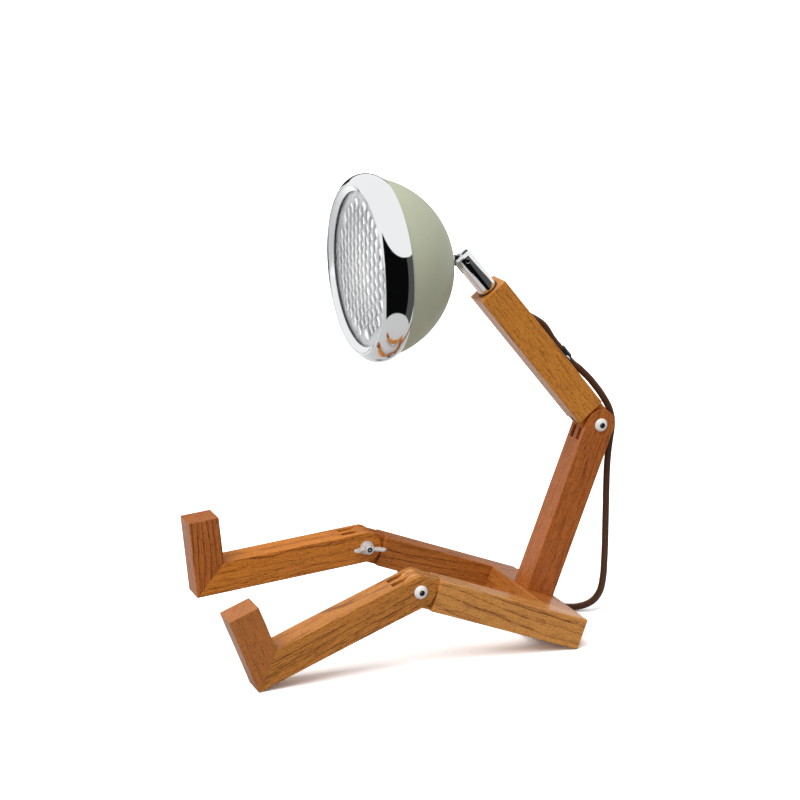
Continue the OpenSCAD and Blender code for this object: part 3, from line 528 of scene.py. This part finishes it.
def smooth_line(points, step):
    """Points about a step apart on a centripetal spline through the given ones, in millimetres."""
    p = np.array(points, float)
    p = np.vstack([2 * p[0] - p[1], p, 2 * p[-1] - p[-2]])
    line = []
    for a, b, c, d in zip(p[:-3], p[1:-2], p[2:-1], p[3:]):
        count = max(1, round(float(np.linalg.norm(c - b)) / step))
        t1, t2, t3 = np.cumsum([np.linalg.norm(b - a) ** 0.5, np.linalg.norm(c - b) ** 0.5,
                                np.linalg.norm(d - c) ** 0.5])
        for t in t1 + (t2 - t1) * np.arange(count) / count:
            ab = (t1 - t) / t1 * a + t / t1 * b
            bc = (t2 - t) / (t2 - t1) * b + (t - t1) / (t2 - t1) * c
            cd = (t3 - t) / (t3 - t2) * c + (t - t2) / (t3 - t2) * d
            left = (t2 - t) / t2 * ab + t / t2 * bc
            right = (t3 - t) / (t3 - t1) * bc + (t - t1) / (t3 - t1) * cd
            line.append((t2 - t) / (t2 - t1) * left + (t - t1) / (t2 - t1) * right)
    line.append(p[-2])
    return np.array(line)


def swept(name, line, radii, material, sides=14):
    """A closed tube along a line, both in millimetres, with a radius at each of its points."""
    heading = np.gradient(line, axis=0)
    heading /= np.linalg.norm(heading, axis=1)[:, None]
    # Any direction off the line does for the first ring, and each next ring keeps to the last
    side = np.cross(heading[0], [0.3, 0.8, 0.5])
    points = []
    angles = np.arange(sides) * 2 * math.pi / sides
    for spot, way, radius in zip(line, heading, radii):
        side = side - (side @ way) * way
        side /= np.linalg.norm(side)
        other = np.cross(way, side)
        points.extend((spot + radius * (math.cos(a) * side + math.sin(a) * other)) * MM for a in angles)
    last = (len(line) - 1) * sides
    faces = [
        (i * sides + k, i * sides + (k + 1) % sides,
         (i + 1) * sides + (k + 1) % sides, (i + 1) * sides + k)
        for i in range(len(line) - 1) for k in range(sides)
    ]
    faces += [tuple(range(sides))[::-1], tuple(last + k for k in range(sides))]
    return mesh_piece(name, points, faces, material, recalculate=False, sharp=50.0)


def make_cord():
    """The whole lead from its hole in the arm to the plug."""
    line = smooth_line(ARM_ROUTE + DROP_ROUTE + RUN_ROUTE + coil_route() + TAIL_ROUTE, 2.0)
    cord = swept("cord", line, np.full(len(line), CORD_DIAMETER / 2), FINISHES["cord_sheath"])
    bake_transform(cord)
    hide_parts("cord_arm", "cord_drop", "cord_run", "cord_coil", "cord_tail")
    return cord, line


def make_strain_relief(line):
    """A ribbed sleeve that tapers from the plug along the last stretch of the cord."""
    reach, inside, step = 26.0, 3.0, 0.25
    thick, taper = 4.3, 1.35
    rib, depth = 1.6, 0.7
    plain_foot, plain_end = 3, 2
    steps = np.linalg.norm(np.diff(line, axis=0), axis=1)
    left = np.concatenate([[0], np.cumsum(steps[::-1])])
    back = line[::-1]
    at = np.arange(-inside, reach, step)
    spine = np.array([[np.interp(max(a, 0), left, back[:, k]) for k in range(3)] for a in at])
    spine[at < 0, 0] += at[at < 0]
    groove = (np.floor(at / rib) % 2 == 1) & (at > plain_foot) & (at < reach - plain_end)
    radii = thick - taper * np.clip(at / reach, 0, 1) - np.where(groove, depth, 0)
    sleeve = swept("plug_sleeve", spine, radii, FINISHES["housing_black"], sides=24)
    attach(sleeve, "base")


cord_piece, cord_line = make_cord()
make_strain_relief(cord_line)


# ------------------------------------------------------------------ wooden bars

HIP_PITCH = math.radians(20.8)
ARM_LEAN = math.radians(39.3)
LEFT_SLOPE = math.radians(21.155)
RIGHT_SLOPE = math.radians(5.5)
ELBOW = Vector((140.2375, 0, 144.5504)) * MM
LEFT_KNEE = Vector((-16.9171, -53, 56.0919)) * MM
RIGHT_KNEE = Vector((-16.9171, 53, 56.0919)) * MM


def turned_to(axis_x):
    """The turn about Y that lays X along a direction in the X and Z plane."""
    return (0, math.atan2(-axis_x[1], axis_x[0]), 0)


THIGH_WAY = turned_to((-math.cos(HIP_PITCH), math.sin(HIP_PITCH)))
POST_WAY = turned_to((math.sin(HIP_PITCH), math.cos(HIP_PITCH)))
ARM_WAY = turned_to((-math.sin(ARM_LEAN), math.cos(ARM_LEAN)))
LEFT_SHIN_WAY = turned_to((-math.cos(LEFT_SLOPE), -math.sin(LEFT_SLOPE)))
RIGHT_SHIN_WAY = turned_to((-math.cos(RIGHT_SLOPE), -math.sin(RIGHT_SLOPE)))
LEFT_FOOT_WAY = turned_to((-math.sin(LEFT_SLOPE), math.cos(LEFT_SLOPE)))
RIGHT_FOOT_WAY = turned_to((-math.sin(RIGHT_SLOPE), math.cos(RIGHT_SLOPE)))

WOODS = {
    "left_thigh": wood("wood_left_thigh", LEFT_KNEE, THIGH_WAY,
                       color(225, 155, 80), color(136, 76, 34),
                       ring=5.5, pith=(30, -52), streak=0.8, drift=0.06, seed=1.0),
    "right_thigh": wood("wood_right_thigh", RIGHT_KNEE, THIGH_WAY,
                        color(200, 120, 52), color(122, 62, 22),
                        ring=5.0, pith=(-34, 44), streak=0.7, drift=0.05, seed=2.0),
    "hip_rail": wood("wood_hip_rail", (0.09, 0, 0.02), (0, 0, math.radians(90)),
                     color(196, 118, 52), color(142, 76, 30),
                     ring=4.0, pith=(46, 30), streak=0.5, drift=0.03, seed=3.0),
    "torso_post": wood("wood_torso_post", ELBOW, POST_WAY,
                       color(194, 110, 48), color(126, 64, 24),
                       ring=4.4, pith=(60, 48), streak=0.5, drift=0.03, seed=4.0),
    "upper_arm": wood("wood_upper_arm", ELBOW, ARM_WAY,
                      color(220, 142, 56), color(150, 82, 30),
                      ring=3.4, pith=(12, -64), streak=0.6, drift=0.03, seed=5.0),
    "left_shin": wood("wood_left_shin", LEFT_KNEE, LEFT_SHIN_WAY,
                      color(205, 132, 56), color(104, 52, 22),
                      ring=5.0, pith=(24, 52), streak=0.75, drift=0.05, seed=6.0),
    "right_shin": wood("wood_right_shin", RIGHT_KNEE, RIGHT_SHIN_WAY,
                       color(223, 137, 52), color(118, 56, 18),
                       ring=5.0, pith=(26, -48), streak=0.75, drift=0.05, seed=7.0),
    "left_foot": wood("wood_left_foot", LEFT_KNEE, LEFT_FOOT_WAY,
                      color(190, 116, 56), color(128, 70, 30),
                      ring=7.0, pith=(-70, 12), streak=0.35, drift=0.02, seed=8.0),
    "right_foot": wood("wood_right_foot", RIGHT_KNEE, RIGHT_FOOT_WAY,
                       color(196, 114, 52), color(104, 50, 20),
                       ring=3.0, pith=(20, 80), streak=0.95, drift=0.02, seed=9.0),
}
for node, timber in WOODS.items():
    refined(node, timber, width=0.22)


# ------------------------------------------------------------------ head

# The middle of the tilt joint's pin, the head's turn about it and the bezel's front from it
TILT = Vector((39.2133, 0, 267.9779)) * MM
HEAD_PITCH = math.radians(1.2)
HEAD_FRONT = 79.1


def about_y(angle):
    return Euler((0, angle, 0)).to_matrix().to_4x4()


# Z looks out of the lamp's front, and the origin is in the plane of the bezel's front
HEAD = Matrix.Translation(TILT) @ about_y(-HEAD_PITCH) \
    @ Matrix.Translation(Vector((-HEAD_FRONT, 0, 0)) * MM) @ about_y(-math.pi / 2)
# Sizes of the head are in millimetres; the bezel's wall is round about this radius and height
BEZEL_ROUND = (50.5, -11.5)
BEZEL_RADIUS = 13.3
BEZEL_WALL = 0.8
LIP_RADIUS = 57.18
SHELL_RADIUS = 62.0
SHELL_CENTRE = HEAD_FRONT - 73.9
SHELL_WALL = 1.0
# The shell's edge and the reflector's mouth lie this far behind the bezel's front
SHELL_EDGE = 11.0
SHELL_HOLE = 3.1
SEAT_DEPTH = 0.3
LENS_RADIUS = 57.0
LENS_EDGE = 4.9
LENS_CROWN = 2.6
LENS_THICKNESS = 3.0
LENS_WINDOW = 52.6


def lathed(node, name, section, count=256):
    """A section of (radius, height) pairs, turned about the head's axis in a node's place."""
    section = np.array(section, float)
    angles = np.arange(count) * 2 * math.pi / count
    rows = len(section)
    points = [
        HEAD @ (Vector((r * math.cos(a), r * math.sin(a), z)) * MM)
        for a in angles for r, z in section
    ]
    faces = [
        (i * rows + k, ((i + 1) % count) * rows + k,
         ((i + 1) % count) * rows + (k + 1) % rows, i * rows + (k + 1) % rows)
        for i in range(count) for k in range(rows)
    ]
    stands_for(mesh_piece(name, points, faces, FINISHES[SLOT[node]]), node)


def arc(centre, radius, start, end, count):
    """Points on a circle, with its angles in degrees."""
    return [
        (centre[0] + radius * math.cos(t), centre[1] + radius * math.sin(t))
        for t in np.radians(np.linspace(start, end, count))
    ]


def bezel_section():
    """Out from the rolled rear edge to the front lip, then down the short bright cone to the lens."""
    outside = arc(BEZEL_ROUND, BEZEL_RADIUS, -33.3, 59.85, 40)
    bead = arc((LIP_RADIUS - 0.05, -0.55), 0.55, 80, 190, 8)
    cone = [(56.3, -1.0), (55.4, -1.6), (54.2, -2.35), (LENS_WINDOW, -3.3), (LENS_WINDOW + 0.1, -3.8),
            (57.4, -3.2), (57.8, -1.6)]
    inside = arc(BEZEL_ROUND, BEZEL_RADIUS - BEZEL_WALL, 56.5, -35.7, 32)
    return outside + bead + cone + inside


def shell_section():
    """The spherical wall from the flat seat of the knuckle to its edge inside the bezel."""
    seat = math.degrees(math.acos((SHELL_RADIUS - SEAT_DEPTH) / SHELL_RADIUS))
    hole = math.degrees(math.asin(SHELL_HOLE / SHELL_RADIUS))
    edge = math.degrees(math.acos((SHELL_EDGE - SHELL_CENTRE) / SHELL_RADIUS))
    centre = (0, -SHELL_CENTRE)
    outside = arc(centre, SHELL_RADIUS, -90 + seat, -90 + edge, 96)
    inside = arc(centre, SHELL_RADIUS - SHELL_WALL, -90 + edge, -90 + hole, 64)
    flat = -SHELL_CENTRE - SHELL_RADIUS + SEAT_DEPTH
    return outside + inside + [(SHELL_HOLE, flat)]


def reflector_section():
    """A bowl from its neck at the light to a flange at its mouth behind the lens."""
    mouth, neck, depth = 55.5, 14.0, 42.0
    wall, back = 0.9, 0.5
    flange = [(mouth + 1, -10.2), (mouth + 1.8, -10.6)]
    radii = np.linspace(neck, mouth, 40)
    rise = SHELL_EDGE + (depth - SHELL_EDGE) * (mouth ** 2 - radii ** 2) / (mouth ** 2 - neck ** 2)
    front = [(r, -z) for r, z in zip(radii, rise)]
    rear = [(r + wall, -z - back) for r, z in zip(radii[::-1], rise[::-1])]
    return front + flange + rear


lathed("bezel", "bezel_ring", bezel_section())
lathed("lamp_shell", "lamp_shell_turned", shell_section())
lathed("reflector", "reflector_bowl", reflector_section(), 128)


# ------------------------------------------------------------------ geometry nodes

def grown(name, tree, sizes, material):
    """Runs a geometry node tree on an empty mesh and returns its result as a plain piece."""
    piece = linked(bpy.data.objects.new(name, bpy.data.meshes.new(name)))
    modifier = piece.modifiers.new(name, "NODES")
    modifier.node_group = tree
    for item in tree.interface.items_tree:
        if item.in_out == "INPUT":
            modifier[item.identifier] = material if item.name == "Finish" else sizes[item.name]
    return finished(piece, material)


def new_tree(name, inputs):
    """A geometry node tree with named inputs; returns its wiring and its inputs' values."""
    tree = bpy.data.node_groups.new(name, "GeometryNodeTree")
    tree.interface.new_socket("Geometry", in_out="OUTPUT", socket_type="NodeSocketGeometry")
    for label, kind in inputs.items():
        tree.interface.new_socket(label, in_out="INPUT", socket_type="NodeSocket" + kind)
    wiring = Wiring(tree)
    return wiring, dict(zip(inputs, wiring.node("NodeGroupInput", output=tuple(inputs))))


def lens_tree():
    """A crowned disc whose middle rises in staggered columns of low domes, inside a plain border.
    The sheet starts as a square grid of rings and sectors, one unit wide, which is bent round."""
    wiring, given = new_tree("lens_dimples", {
        "Pitch": "Float", "Rows": "Int", "Columns": "Int", "Reach": "Float", "Dome": "Float",
        "Crown": "Float", "Radius": "Float", "Rings": "Int", "Sectors": "Int", "Finish": "Material",
    })
    node = wiring.node
    pitch = given["Pitch"]
    grid = node("GeometryNodeMeshGrid", None, {
        "Size X": pitch * (given["Rows"] - 1),
        "Size Y": pitch * (math.sqrt(3) / 2) * (given["Columns"] - 1),
        "Vertices X": given["Rows"], "Vertices Y": given["Columns"],
    })
    column = node("GeometryNodeInputIndex").calc("MODULO", given["Columns"])
    stagger = node("ShaderNodeCombineXYZ", None, [column.calc("MODULO", 2.0) * pitch * 0.5, 0.0, 0.0])
    spots = node("GeometryNodeSetPosition", None, {"Geometry": grid, "Offset": stagger})
    spot = node("GeometryNodeInputPosition")
    outside = node("ShaderNodeVectorMath", {"operation": "LENGTH"}, [spot], output="Value") \
        .calc("GREATER_THAN", given["Reach"])
    spots = node("GeometryNodeDeleteGeometry", {"domain": "POINT"},
                 {"Geometry": spots, "Selection": outside})
    sheet = node("GeometryNodeMeshGrid", None, {
        "Size X": 1.0, "Size Y": 1.0, "Vertices X": given["Rings"], "Vertices Y": given["Sectors"]})
    x, y = node("ShaderNodeSeparateXYZ", None, [spot], output=("X", "Y"))
    reach = (x + 0.5) * given["Radius"]
    turn = (y + 0.5) * (2 * math.pi)
    polar = node("ShaderNodeCombineXYZ", None, [
        reach * turn.calc("COSINE"), reach * turn.calc("SINE"), 0.0])
    sheet = node("GeometryNodeSetPosition", None, {"Geometry": sheet, "Position": polar})
    sheet = node("GeometryNodeMergeByDistance", None, {"Geometry": sheet, "Distance": 1e-5})
    away = node("GeometryNodeProximity", {"target_element": "POINTS"}, [spots], output="Distance") \
        / (pitch / math.sqrt(3))
    sheet = node("GeometryNodeStoreNamedAttribute", {"data_type": "FLOAT", "domain": "POINT"},
                 {"Geometry": sheet, "Name": DOME_DISTANCE, "Value": away})
    # The fields read the positions anew: from here on, x and y are those of the round sheet
    fall = (x * x + y * y) / (given["Radius"] * given["Radius"]) * given["Crown"]
    rise = (1.0 - away * away).calc("MAXIMUM", 0.0) * given["Dome"] - fall
    sheet = node("GeometryNodeSetPosition", None, {
        "Geometry": sheet, "Offset": node("ShaderNodeCombineXYZ", None, [0.0, 0.0, rise])})
    sheet = node("GeometryNodeRealizeInstances", None, [sheet])
    sheet = node("GeometryNodeSetShadeSmooth", None, [sheet])
    sheet = node("GeometryNodeSetMaterial", None, {"Geometry": sheet, "Material": given["Finish"]})
    node("NodeGroupOutput", None, [sheet])
    return wiring.tree


def make_lens():
    """The pressed lens: its domed front, and a smooth rear face and edge behind."""
    sheet = grown("lens_pressed", lens_tree(), {
        "Pitch": 8.5 * MM, "Rows": 13, "Columns": 15, "Reach": 44.5 * MM, "Dome": 1.0 * MM,
        "Crown": LENS_CROWN * MM, "Radius": LENS_RADIUS * MM, "Rings": 76, "Sectors": 264,
    }, FINISHES["lens_glass"])
    work = bmesh.new()
    work.from_mesh(sheet.data)
    rim = [edge for edge in work.edges if edge.is_boundary]
    copied = bmesh.ops.duplicate(work, geom=work.faces[:])
    matched = copied["vert_map"]
    rear = [g for g in copied["geom"] if isinstance(g, bmesh.types.BMFace)]
    for vert in {v for face in rear for v in face.verts}:
        reach = math.hypot(vert.co.x, vert.co.y) / (LENS_RADIUS * MM)
        vert.co.z = -(LENS_CROWN * reach * reach + LENS_THICKNESS) * MM
    for edge in rim:
        a, b = edge.verts
        work.faces.new((a, b, matched[b], matched[a]))
    bmesh.ops.recalc_face_normals(work, faces=work.faces)
    work.transform(HEAD @ Matrix.Translation(Vector((0, 0, LENS_CROWN - LENS_EDGE)) * MM))
    work.to_mesh(sheet.data)
    work.free()
    sheet.data.set_sharp_from_angle(angle=math.radians(50))
    stands_for(sheet, "lens")


make_lens()


# ------------------------------------------------------------------ fittings

PIVOTS = {"elbow_bolt": ELBOW, "left_knee_bolt": LEFT_KNEE, "right_knee_bolt": RIGHT_KNEE}
for node, pivot in PIVOTS.items():
    refined(node, zinc_and_socket_shade("zinc_" + node, pivot), width=0.15)
for node in ("elbow_washer", "left_knee_washer", "right_knee_washer", "neck_washer", "seat_washer"):
    refined(node, width=0.15)
for node in ("elbow_wing_nut", "left_wing_nut", "right_wing_nut"):
    refined(node, width=0.45, steps=3)
for node in ("knuckle_barrel", "knuckle_pin", "head_tongue"):
    refined(node, width=0.2, steps=3)
for node in ("cord_clip", "clip_screw"):
    refined(node, width=0.2)
for node in ("switch_base", "switch_cover", "switch_rocker", "plug_body"):
    refined(node, width=0.5, steps=3)
refined("plug_pins", width=0.0)
refined("coil_ties", width=0.25)

# The CAD nodes that no piece stands for are shown as they are
for node, piece in NODES.items():
    if not piece.hide_render:
        if piece.material_slots:
            piece.material_slots[0].material = FINISHES[SLOT[node]]
        else:
            piece.data.materials.append(FINISHES[SLOT[node]])

[tuple(p * MM) for p in cord_line[::2]]


# ------------------------------------------------------------------ floor and light

FLOOR_REACH = 30.0
# The floor's shade for the lamp, and what it gains for the camera, so that it stays white there
FLOOR_SHADE = 0.45
FLOOR_SEEN = 1.4
# The white room's light on the lamp, and what it gains for the camera and for mirrors
ROOM_LIGHT = 0.42
ROOM_SEEN = 0.58
ROOM_MIRRORED = 0.51
# The middle that the screens stand around, the height of their foot and their points along an edge
CARD_CENTRE = (-0.04, 0.0)
CARD_FOOT = 0.001
CARD_POINTS = 24


def blank(block):
    """The wiring of a material or a world, with its first nodes cleared away."""
    block.use_nodes = True
    block.node_tree.nodes.clear()
    return Wiring(block.node_tree)


def rays(wiring):
    """1 for what the camera sees, straight or through glass, and 1 for what mirrors see."""
    camera, glossy, through = wiring.node(
        "ShaderNodeLightPath", output=("Is Camera Ray", "Is Glossy Ray", "Is Transmission Ray"))
    return (camera + through).calc("MINIMUM", 1.0), glossy


def stage_sheet(name, points, faces, material):
    mesh = bpy.data.meshes.new(name)
    mesh.from_pydata(points, [], faces)
    mesh.materials.append(material)
    sheet = linked(bpy.data.objects.new(name, mesh))
    return sheet


def make_floor():
    """White where the camera sees it, greyer for the light on the lamp. Mirrors see it lighter
    behind the lamp than in front of it."""
    material = bpy.data.materials.new("floor")
    wiring = blank(material)
    seen, glossy = rays(wiring)
    place = wiring.node("ShaderNodeTexCoord", output="Object")
    depth = wiring.node("ShaderNodeSeparateXYZ", None, [place], output="Y")
    beyond = wiring.node("ShaderNodeMapRange", {"interpolation_type": "SMOOTHSTEP"},
                         {"Value": depth, "From Min": 0.15, "From Max": 0.6,
                          "To Min": 0.1, "To Max": 0.5})
    shade = FLOOR_SHADE + seen * FLOOR_SEEN + glossy * beyond
    matt = wiring.node("ShaderNodeBsdfDiffuse", None,
                       {"Color": wiring.node("ShaderNodeCombineColor", None, [shade, shade, shade])})
    wiring.node("ShaderNodeOutputMaterial", None, [matt])
    corners = [(x * FLOOR_REACH, y * FLOOR_REACH, 0) for x, y in ((-1, -1), (1, -1), (1, 1), (-1, 1))]
    stage_sheet("floor", corners, [(0, 1, 2, 3)], material)


def make_card(name, first, last, reach, rise, shade):
    """A curved screen around the lamp head, which only mirrors see: a darker part of the room that
    the bright metal and the lacquer show. Its headings are in degrees from -Y towards +X, and its
    top edge rises to one angle over the head at its first heading and to another at its last."""
    material = bpy.data.materials.new(name)
    wiring = blank(material)
    wiring.node("ShaderNodeOutputMaterial", None, [
        wiring.node("ShaderNodeEmission", None, {"Color": (shade, shade, shade, 1), "Strength": 1.0})])
    headings = np.radians(np.linspace(first, last, CARD_POINTS))
    tops = TILT.z + reach * np.tan(np.radians(np.linspace(*rise, CARD_POINTS)))
    points = [
        (CARD_CENTRE[0] + reach * math.sin(a), CARD_CENTRE[1] - reach * math.cos(a), height)
        for a, top in zip(headings, tops) for height in (CARD_FOOT, top)
    ]
    faces = [(2 * i, 2 * i + 2, 2 * i + 3, 2 * i + 1) for i in range(CARD_POINTS - 1)]
    card = stage_sheet(name, points, faces, material)
    for kind in ("camera", "diffuse", "transmission", "volume_scatter", "shadow"):
        setattr(card, "visible_" + kind, False)


def make_world():
    world = bpy.data.worlds.new("world")
    bpy.context.scene.world = world
    wiring = blank(world)
    seen, glossy = rays(wiring)
    strength = ROOM_LIGHT + seen * ROOM_SEEN + glossy * ROOM_MIRRORED
    sky = wiring.node("ShaderNodeBackground", None, {"Color": (1, 1, 1, 1), "Strength": strength})
    wiring.node("ShaderNodeOutputWorld", None, [sky])


def make_sun(name, towards, strength, angle):
    """A wide soft sun, which mirrors don't see."""
    data = bpy.data.lights.new(name, "SUN")
    data.energy = strength
    data.angle = math.radians(angle)
    sun = linked(bpy.data.objects.new(name, data))
    sun.visible_glossy = False
    sun.rotation_mode = "QUATERNION"
    sun.rotation_quaternion = Vector(towards).to_track_quat("-Z", "Y")


make_floor()
make_card("dark_screen", -80, 38, 0.30, (30, 17), 0.003)
make_card("grey_screen", 38, 82, 0.30, (17, 10), 0.08)
make_card("rear_screen", 143, 184, 1.0, (12, 12), 0.02)
make_world()
make_sun("overhead", (0.42, 0.28, -1.0), 2.15, 50)
make_sun("front", (1.0, 0.25, -0.5), 0.5, 60)

bpy.context.scene.view_settings.view_transform = "Standard"
